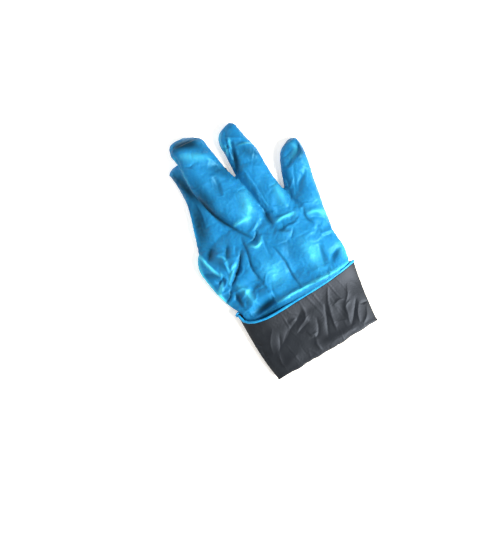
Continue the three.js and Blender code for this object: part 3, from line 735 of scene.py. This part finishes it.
def slacken(made, held, slack, least, most, reach):
    """Cloth simulation of film that is a little too large for its form, so that it buckles into wrinkles.

    held is how firmly each point keeps its place, from 0 to 1. slack runs from 0, where the film is longer
    by the share `least`, to 1, where it is longer by `most`. No point moves further than reach.
    """
    points = read_points(made)
    made.data.vertices.foreach_set("co", (points * MM * SIMULATION_SCALE).ravel())
    made.data.update()
    for name, weights in (("held", held), ("slack", slack)):
        group = made.vertex_groups.new(name=name)
        steps = np.round(weights, 2)
        for value in np.unique(steps):
            group.add(np.flatnonzero(steps == value).tolist(), float(value), "REPLACE")
    cloth = made.modifiers.new("slack film", "CLOTH")
    film = cloth.settings
    for setting, value in FILM_CLOTH.items():
        setattr(film, setting, value)
    film.shrink_min = -least
    film.shrink_max = -most
    film.effector_weights.gravity = 0
    cloth.collision_settings.use_collision = False
    cloth.point_cache.frame_end = SIMULATION_FRAMES
    for number in range(1, SIMULATION_FRAMES + 1):
        bpy.context.scene.frame_set(number)
    apply_modifiers(made)
    bpy.context.scene.frame_set(1)
    made.vertex_groups.clear()
    moved = np.empty(len(points) * 3)
    made.data.vertices.foreach_get("co", moved)
    step = moved.reshape(-1, 3) / (MM * SIMULATION_SCALE) - points
    size = np.linalg.norm(step, axis=1)
    write_points(made, points + step * np.minimum(1, reach / np.maximum(size, 1e-6))[:, None])


def near(x, y, spots, spread):
    """1 at the spots, dying away over `spread` millimetres."""
    return np.clip(sum(np.exp(-((x - cx) ** 2 + (y - cy) ** 2) / spread ** 2) for cx, cy in spots), 0, 1)


def slacken_hand(made, lowest):
    """Lets the upper film of the hand buckle, most at its gathers, and keeps it clear of the film below."""
    points = read_points(made)
    facing = upward(made)
    x, y = points[:, 0], points[:, 1]
    gathers = np.maximum(near(x, y, CROTCHES, 12), near(x, y, THUMB_GATHERS, 16))
    held = 0.34 - 0.25 * gathers - 0.08 * smooth(112, 135, y)
    held = np.where((facing < 0.05) | (y < 48), 1.0, held)
    slack = np.clip(0.2 + 0.8 * gathers, 0, 1)
    slacken(made, held, slack, least=0.03, most=0.14, reach=4.0)
    settled = read_points(made)
    settled[:, 2] = np.where(facing > 0.05, np.maximum(settled[:, 2], lowest), settled[:, 2])
    write_points(made, settled)


def slacken_cuff(made, top):
    """Lets the upper side of the sleeve buckle a little."""
    held = np.where(top, 0.32, 1.0)
    slacken(made, held, np.full(len(held), 0.3), least=0.01, most=0.05, reach=1.0)


def open_mouth(made):
    """Takes away the flat end at the mouth, so that the glove is open there."""
    points = read_points(made)
    closed = np.flatnonzero(points[:, 1] - MOUTH_SLANT * points[:, 0] < MOUTH_TRIM)
    work = bmesh.new()
    work.from_mesh(made.data)
    work.verts.ensure_lookup_table()
    bmesh.ops.delete(work, geom=[work.verts[i] for i in closed], context="VERTS")
    work.to_mesh(made.data)
    work.free()


def lighten(made, kept_share):
    """Fewer facets where the film lies flat on the table."""
    low = upward(made) < -0.2
    group = made.vertex_groups.new(name="underside")
    group.add(np.flatnonzero(low).tolist(), 1.0, "REPLACE")
    thin = made.modifiers.new("fewer facets", "DECIMATE")
    thin.ratio = kept_share
    thin.vertex_group = "underside"
    thin.vertex_group_factor = 1.0
    apply_modifiers(made)


def give_wall(made, wall, inner_slot):
    solid = made.modifiers.new("wall", "SOLIDIFY")
    solid.thickness = wall * MM
    solid.offset = -1
    solid.material_offset = inner_slot
    apply_modifiers(made)


# Sleeve of the turned cuff. Its edges are those of the picture, and the rim is a line across its top.
CUFF_EDGES = [
    {"y": 0.0, "left": -44.0, "right": 44.0},
    {"y": 11.0, "left": -46.4, "right": 44.6},
    {"y": 23.0, "left": -47.9, "right": 45.4},
    {"y": 39.0, "left": -49.0, "right": 47.0},
    {"y": 54.0, "left": -49.4, "right": 49.2},
]
RIM = [(-49.5, 54.6), (-48.6, 49.5), (-46.4, 46.0), (-42.2, 43.6), (-34.6, 41.8), (-23.5, 41.4),
       (-10.1, 42.3), (7.8, 43.5), (26.1, 45.2), (40.0, 47.4), (48.8, 49.4)]
# How far the rim stands off the wrist, at places across it.
RIM_LIFT = [(-49.5, 0.0), (-45.0, 0.8), (-35.0, 2.9), (-23.5, 3.5), (-10.0, 2.9), (7.8, 2.0),
            (26.0, 1.1), (48.8, 0.0)]
# The rim's place along the hand on the underside, which the picture doesn't show.
RIM_BELOW = 51.3


def wrist_crown(y):
    return curve_through(column(PALM, "y"), column(PALM, "crown"), y)


def cuff_place(t, is_top, share, out):
    """A place on the sleeve: t across it, share of the way from mouth to rim, out from the wrist's film."""
    keys = column(CUFF_EDGES, "y")
    rim_x, rim_y = zip(*RIM)
    side_y = np.where(t < 0, RIM[0][1], RIM[-1][1])
    x_guess = RIM_HALF * t
    top_end = curve_through(rim_x, rim_y, x_guess)
    low_end = RIM_BELOW + (side_y - RIM_BELOW) * np.abs(t) ** 3
    end = np.where(is_top, top_end, low_end)
    y = share * end
    left = curve_through(keys, column(CUFF_EDGES, "left"), y)
    right = curve_through(keys, column(CUFF_EDGES, "right"), y)
    x = left + (right - left) * (t + 1) / 2
    at_rim = smooth(38, 51, y)
    floor = 1.4 + 1.2 * at_rim
    crown = wrist_crown(y)
    crease = floor + CREASE_SHARE * crown
    top_z = crease + (crown - crease + out) * top_profile(t)
    low_z = np.maximum(floor - out + (crease - floor + out) * bottom_profile(t), TABLE_GAP)
    lift_x, lift = zip(*RIM_LIFT)
    raised = curve_through(lift_x, lift, x) * smooth(0.5, 1.0, share)
    z = np.where(is_top, top_z + raised, low_z)
    slant = MOUTH_SLANT * x * (1 - smooth(0, SLANT_END, y))
    return np.stack([x, y + slant, z], axis=-1)


def cuff_loop(share, out, across=170, under=60):
    t = np.concatenate([shares_across(across), shares_across(under)[1:-1][::-1]])
    is_top = np.arange(len(t)) <= across
    return cuff_place(t, is_top, np.full(len(t), share), out), is_top


def turned_cuff():
    """The sleeve of film turned back over the wrist, black side out, from inside the mouth to the rim."""
    loops, tops = [], []
    for i in range(9):
        angle = math.pi * i / 8
        out = SLEEVE_INSIDE + (SLEEVE_OUT - SLEEVE_INSIDE) * (1 - math.cos(angle)) / 2
        loop, is_top = cuff_loop(0.0, out)
        loop[:, 1] -= HEM_REACH * math.sin(angle)
        loops.append(loop)
        tops.append(is_top)
    for share in np.linspace(0, 1, 90)[1:]:
        loop, is_top = cuff_loop(share, SLEEVE_OUT)
        loops.append(loop)
        tops.append(is_top)
    points = np.concatenate(loops)
    top = np.concatenate(tops)
    x, y = points[:, 0].copy(), points[:, 1].copy()
    rise = sum(fold_height(fold, x, y) for fold in CUFF_FOLDS)
    rise = rise + 0.6 * noise(x, y, 13, 40) + 0.2 * (crinkle(x * 1.6 + 0.3 * y, y * 0.5, 9, 44) - 0.4)
    from_mouth = y - MOUTH_SLANT * x
    inside = smooth(-1.5, 3.0, from_mouth) * smooth(0, 4, CREASE_HALF - np.abs(x))
    rise = np.maximum(0.85 * rise, -1.2 - 1.4 * smooth(36, 44, y))
    points[:, 2] += np.where(top, rise * inside, 0)
    lip = np.exp(-(from_mouth / 3.0) ** 2)
    points[:, 1] += lip * (0.9 * noise(x, y * 0, 9, 50) + 0.5 * noise(x, y * 0, 3.5, 51))
    count = len(loops[0])
    made = mesh_object("turned_cuff_film", points, quads(len(loops), count))
    slacken_cuff(made, top)
    return made, read_points(made)[-count:]


def rolled_bead(rim):
    """The rolled edge of the cuff: a fine, slightly uneven round bead all along the rim."""
    centre = rim.copy()
    ahead = np.roll(centre, -1, axis=0) - np.roll(centre, 1, axis=0)
    tangent = ahead / np.linalg.norm(ahead, axis=1)[:, None]
    forward = np.array([0.0, 1.0, 0.0]) - tangent * tangent[:, 1:2]
    forward /= np.linalg.norm(forward, axis=1)[:, None]
    outward = np.cross(tangent, forward)
    spot = np.cumsum(np.linalg.norm(np.diff(centre, axis=0, prepend=centre[:1]), axis=1))
    radius = BEAD_DIAMETER / 2 * (1 + 0.07 * np.sin(spot / 5.3) + 0.05 * np.sin(spot / 2.1))
    centre = centre + forward * (BEAD_DIAMETER / 2)
    sides = 14
    points = []
    for k in range(sides):
        angle = 2 * math.pi * k / sides
        points.append(centre + (forward * math.cos(angle) + outward * math.sin(angle)) * radius[:, None])
    points = np.stack(points, axis=1).reshape(-1, 3)
    points[:, 2] = np.maximum(points[:, 2], TABLE_GAP)
    return mesh_object("rolled_bead_edge", points, quads(len(centre), sides, joined=True))


def colour(hex_code):
    """Linear RGBA of an sRGB hex colour."""
    parts = [int(hex_code[i:i + 2], 16) / 255 for i in (1, 3, 5)]
    return tuple(c / 12.92 if c <= 0.04045 else ((c + 0.055) / 1.055) ** 2.4 for c in parts) + (1.0,)


def add_node(tree, kind, settings=None, values=None, links=None):
    """Adds a shader node. Settings are its own, values fill its sockets and links join nodes to them."""
    node = tree.nodes.new(kind)
    for name, value in (settings or {}).items():
        setattr(node, name, value)
    for name, value in (values or {}).items():
        node.inputs[name].default_value = value
    for name, source in (links or {}).items():
        tree.links.new(source, node.inputs[name])
    return node


def film_material(name, shades, gloss, grain_mm, mottle_mm, glow, sheen):
    """Dipped film: satin, faintly mottled where it is thinner, with painted shade and painted highlight
    laid on where the points carry them, and a fine grain that breaks its gloss.
    """
    material = bpy.data.materials.new(name)
    material.use_nodes = True
    tree = material.node_tree
    tree.nodes.clear()
    place = add_node(tree, "ShaderNodeTexCoord").outputs["Object"]
    mottle = add_node(tree, "ShaderNodeTexNoise", None, {"Scale": 1 / (mottle_mm * MM), "Detail": 4.0},
                      {"Vector": place})
    ramp = add_node(tree, "ShaderNodeValToRGB", None, None, {"Fac": mottle.outputs["Fac"]})
    for element, (at, shade) in zip(ramp.color_ramp.elements, ((0.3, "deep"), (0.7, "film"))):
        element.position = at
        element.color = colour(shades[shade])
    # Painted shade and painted highlight: the colour goes toward the darkest one where a point's shade is
    # below 0, and toward the palest where it is above 0.
    kept = add_node(tree, "ShaderNodeAttribute", {"attribute_name": "shade"})
    darker = add_node(tree, "ShaderNodeMapRange", None, {"From Min": 0.0, "From Max": -1.0},
                      {"Value": kept.outputs["Fac"]})
    lighter = add_node(tree, "ShaderNodeMapRange", None, {"From Min": 0.0, "From Max": 1.0},
                       {"Value": kept.outputs["Fac"]})
    painted_shade = add_node(tree, "ShaderNodeMix", {"data_type": "RGBA"}, {"B": colour(shades["painted_shade"])},
                       {"Factor": darker.outputs["Result"], "A": ramp.outputs["Color"]})
    painted_highlight_mix = add_node(tree, "ShaderNodeMix", {"data_type": "RGBA"}, {"B": colour(shades["thin"])},
                       {"Factor": lighter.outputs["Result"], "A": painted_shade.outputs["Result"]})
    grain = add_node(tree, "ShaderNodeTexNoise", None, {"Scale": 1 / (grain_mm * MM), "Detail": 3.0},
                     {"Vector": place})
    bump = add_node(tree, "ShaderNodeBump", None, {"Strength": 0.12, "Distance": 0.1 * MM},
                    {"Height": grain.outputs["Fac"]})
    rough = add_node(tree, "ShaderNodeMapRange", None, {"To Min": gloss[0], "To Max": gloss[1]},
                     {"Value": mottle.outputs["Fac"]})
    shader = add_node(tree, "ShaderNodeBsdfPrincipled", None,
                      {"IOR": 1.5, "Specular IOR Level": 0.3, "Specular Tint": sheen,
                       "Subsurface Weight": glow, "Subsurface Radius": (0.25, 1.0, 2.0),
                       "Subsurface Scale": 1.2 * MM},
                      {"Base Color": painted_highlight_mix.outputs["Result"], "Roughness": rough.outputs["Result"],
                       "Normal": bump.outputs["Normal"]})
    add_node(tree, "ShaderNodeOutputMaterial", None, None, {"Surface": shader.outputs["BSDF"]})
    return material


def smooth_shaded(made):
    made.data.polygons.foreach_set("use_smooth", [True] * len(made.data.polygons))
    made.data.update()


def top_camera():
    """Camera straight above, turned as the picture is."""
    data = bpy.data.cameras.new("camera")
    data.sensor_width = SENSOR
    data.lens = SENSOR * CAMERA_HEIGHT / (PICTURE["high"] * PICTURE["mm_per_pixel"])
    data.clip_end = 10
    camera = bpy.data.objects.new("camera", data)
    middle = on_table((PICTURE["wide"] / 2, PICTURE["high"] / 2))
    camera.location = metres([(middle[0], middle[1], CAMERA_HEIGHT)])[0]
    camera.rotation_euler = (0, 0, -TURN)
    bpy.context.scene.collection.objects.link(camera)
    bpy.context.scene.camera = camera


def light(name, pixel, height, size, watts, tint):
    """A soft square light over a pixel of the picture, turned to the palm."""
    data = bpy.data.lights.new(name, "AREA")
    data.size = size
    data.energy = watts
    data.color = colour(tint)[:3]
    lamp = bpy.data.objects.new(name, data)
    spot = on_table(pixel)
    lamp.location = metres([(spot[0], spot[1], height)])[0]
    aim = Vector(metres([(0, 100, 5)])[0]) - lamp.location
    lamp.rotation_euler = aim.to_track_quat("-Z", "Y").to_euler()
    bpy.context.scene.collection.objects.link(lamp)


def table_top():
    """A white table, just below the glove. It glows a little, as an overexposed table does in a picture."""
    half, below = 2.0, 0.2
    corners = [(-half, -half, 0), (half, -half, 0), (half, half, 0), (-half, half, 0)]
    mesh = bpy.data.meshes.new("table")
    mesh.from_pydata(corners, [], [(0, 1, 2, 3)])
    made = bpy.data.objects.new("table", mesh)
    made.location.z = -below * MM
    bpy.context.scene.collection.objects.link(made)
    white = bpy.data.materials.new("white laminate")
    white.use_nodes = True
    shader = white.node_tree.nodes["Principled BSDF"]
    shader.inputs["Base Color"].default_value = colour("#fcf7ef")
    shader.inputs["Roughness"].default_value = 0.7
    shader.inputs["Emission Color"].default_value = colour("#fffaf4")
    shader.inputs["Emission Strength"].default_value = 0.32
    mesh.materials.append(white)


top_camera()
table_top()
light("window", pixel=(1150, 560), height=480, size=0.45, watts=29, tint="#fffdf8")
light("far window", pixel=(-420, -160), height=420, size=0.6, watts=4.5, tint="#f4f9ff")
world = bpy.data.worlds.new("room")
world.use_nodes = True
world.node_tree.nodes["Background"].inputs["Color"].default_value = (1, 1, 1, 1)
world.node_tree.nodes["Background"].inputs["Strength"].default_value = 0.3
bpy.context.scene.world = world
bpy.context.scene.view_settings.view_transform = "Standard"

# Nitrile, dipped blue on the outside: a satin cyan-blue, with a near-black blue as painted shade and a pale
# cyan as painted highlight where the strokes fall. The real grain is too fine to show at this scale, and is
# drawn coarser.
blue_nitrile = film_material(
    "blue nitrile film",
    shades={"deep": "#146292", "film": "#1d70a2", "painted_shade": "#08273c", "thin": "#4fc2de"},
    gloss=(0.38, 0.48), grain_mm=0.5, mottle_mm=14, glow=0.3, sheen=colour("#7fe0ff"))
# The inner coat is dipped in black: a duller satin, near black, that lets no light through. Its darkest and
# palest blacks are painted shade and painted highlight where the strokes fall on the hand's wall.
black_nitrile = film_material(
    "black nitrile inner coat",
    shades={"deep": "#121417", "film": "#191c1f", "painted_shade": "#08080a", "thin": "#2a2c30"},
    gloss=(0.52, 0.62), grain_mm=0.5, mottle_mm=12, glow=0.0, sheen=colour("#dfeaff"))
# The edge is the same blue film rolled on itself, glossier, and a paler blue as a painted highlight along
# the rim.
bead_nitrile = film_material(
    "blue nitrile rolled edge",
    shades={"deep": "#1673a6", "film": "#1f84b5", "painted_shade": "#062840", "thin": "#49bbdc"},
    gloss=(0.32, 0.4), grain_mm=0.5, mottle_mm=10, glow=0.2, sheen=colour("#9fe8ff"))

hand = glove_film()
lowest = lowest_top(hand)
fold_film(hand, lowest)
slacken_hand(hand, lowest)
open_mouth(hand)
lighten(hand, kept_share=0.8)
hand.data.materials.append(blue_nitrile)
hand.data.materials.append(black_nitrile)
give_wall(hand, FILM_WALL, inner_slot=1)
paint_shade_and_highlight(hand)
smooth_shaded(hand)
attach(hand, "root")
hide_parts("hand")

cuff, rim = turned_cuff()
cuff.data.materials.append(black_nitrile)
give_wall(cuff, FILM_WALL, inner_slot=0)
smooth_shaded(cuff)
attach(cuff, "root")
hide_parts("turned_cuff")

bead = rolled_bead(rim)
bead.data.materials.append(bead_nitrile)
smooth_shaded(bead)
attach(bead, "root")
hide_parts("rolled_bead")

bpy.context.view_layer.update()
